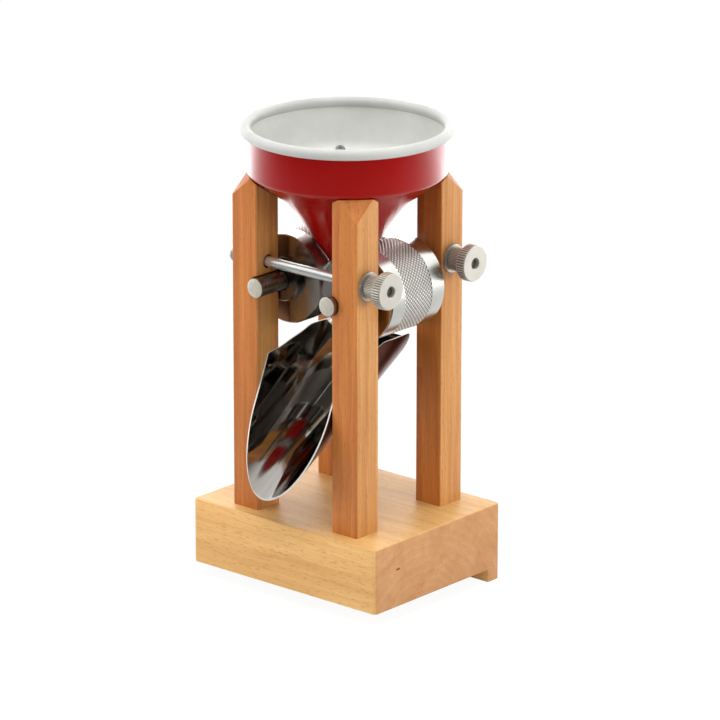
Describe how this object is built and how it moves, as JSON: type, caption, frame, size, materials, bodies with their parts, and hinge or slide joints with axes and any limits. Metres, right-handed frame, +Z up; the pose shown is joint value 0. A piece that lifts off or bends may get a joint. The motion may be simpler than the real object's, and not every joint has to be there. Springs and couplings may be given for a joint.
{
  "type": "hand cranked grain flaker",
  "caption": "Hand cranked roller flaker: wooden block and posts carry two knurled steel rollers, a spun hopper above and a polished chute below.",
  "frame": {"origin": "the point of the base block's underside that lies below the hopper's axis", "axes": "+Z up; +Y from the mouth of the chute to the back, along both rollers; +X towards the knurled nuts"},
  "size_m": [0.1851, 0.2323, 0.3626],
  "materials": {
    "block_wood": "oiled beech, grain along the block",
    "post_wood": "oiled darker wood, grain along the post",
    "hopper_red": "gloss red outside, bare spun aluminium inside and on the bead",
    "polished_sheet": "mirror polished stainless sheet",
    "roller_steel": "turned, knurled in the middle",
    "polished_steel": "bright ground bar",
    "nickel": "satin nickel plate",
    "zinc_steel": "zinc plated"
  },
  "bodies": {
    "frame": {"base_block": "block_wood", "post_front_left": "post_wood", "post_front_right": "post_wood", "post_rear_left": "post_wood", "post_rear_right": "post_wood", "post_screw_front_left": "zinc_steel", "post_screw_front_right": "zinc_steel", "post_screw_rear_left": "zinc_steel", "post_screw_rear_right": "zinc_steel", "hopper": "hopper_red", "hopper_screw_front_left": "zinc_steel", "hopper_screw_front_right": "zinc_steel", "hopper_screw_rear_left": "zinc_steel", "hopper_screw_rear_right": "zinc_steel", "chute": "polished_sheet", "chute_screw_front_left": "zinc_steel", "chute_screw_front_right": "zinc_steel", "tie_rod_front": "polished_steel", "tie_rod_rear": "polished_steel", "cap_nut_front": "nickel", "cap_nut_rear": "nickel"},
    "drive": {"drive_roller": "roller_steel", "drive_shaft": "polished_steel", "drive_collar_front": "roller_steel", "drive_collar_rear": "roller_steel", "crank_arm": "roller_steel", "crank_screw": "zinc_steel", "grip_axle": "zinc_steel"},
    "idler": {"idler_roller": "roller_steel", "idler_shaft": "polished_steel", "idler_collar_front": "roller_steel", "idler_collar_rear": "roller_steel"},
    "grip": {"crank_grip": "post_wood"},
    "washer_front": {"nut_washer_front": "nickel"},
    "washer_rear": {"nut_washer_rear": "nickel"},
    "nut_front": {"knurled_nut_front": "nickel"},
    "nut_rear": {"knurled_nut_rear": "nickel"}
  },
  "joints": [
    {"name": "drive_roller_spin", "type": "hinge", "parent": "frame", "child": "drive", "pos_m": [-0.036, 0, 0.23], "axis": [0, 1, 0], "continuous": true},
    {"name": "idler_roller_spin", "type": "hinge", "parent": "frame", "child": "idler", "pos_m": [0.036, 0, 0.23], "axis": [0, 1, 0], "continuous": true},
    {"name": "crank_grip_spin", "type": "hinge", "parent": "drive", "child": "grip", "pos_m": [-0.06165, 0.11, 0.30048], "axis": [0, 1, 0], "continuous": true},
    {"name": "nut_front_travel", "type": "slide", "parent": "frame", "child": "washer_front", "axis": [1, 0, 0], "range_m": [0, 0.00375]},
    {"name": "nut_rear_travel", "type": "slide", "parent": "frame", "child": "washer_rear", "axis": [1, 0, 0], "range_m": [0, 0.00375]},
    {"name": "nut_front_turn", "type": "hinge", "parent": "washer_front", "child": "nut_front", "pos_m": [0.075, -0.04885, 0.2475], "axis": [1, 0, 0], "range_deg": [0, 1080]},
    {"name": "nut_rear_turn", "type": "hinge", "parent": "washer_rear", "child": "nut_rear", "pos_m": [0.075, 0.04885, 0.2475], "axis": [1, 0, 0], "range_deg": [0, 1080]}
  ],
  "couplings": [
    {"joint": "nut_front_travel", "follows": "nut_front_turn", "m_per_rad": 0.00019894},
    {"joint": "nut_rear_travel", "follows": "nut_rear_turn", "m_per_rad": 0.00019894}
  ]
}
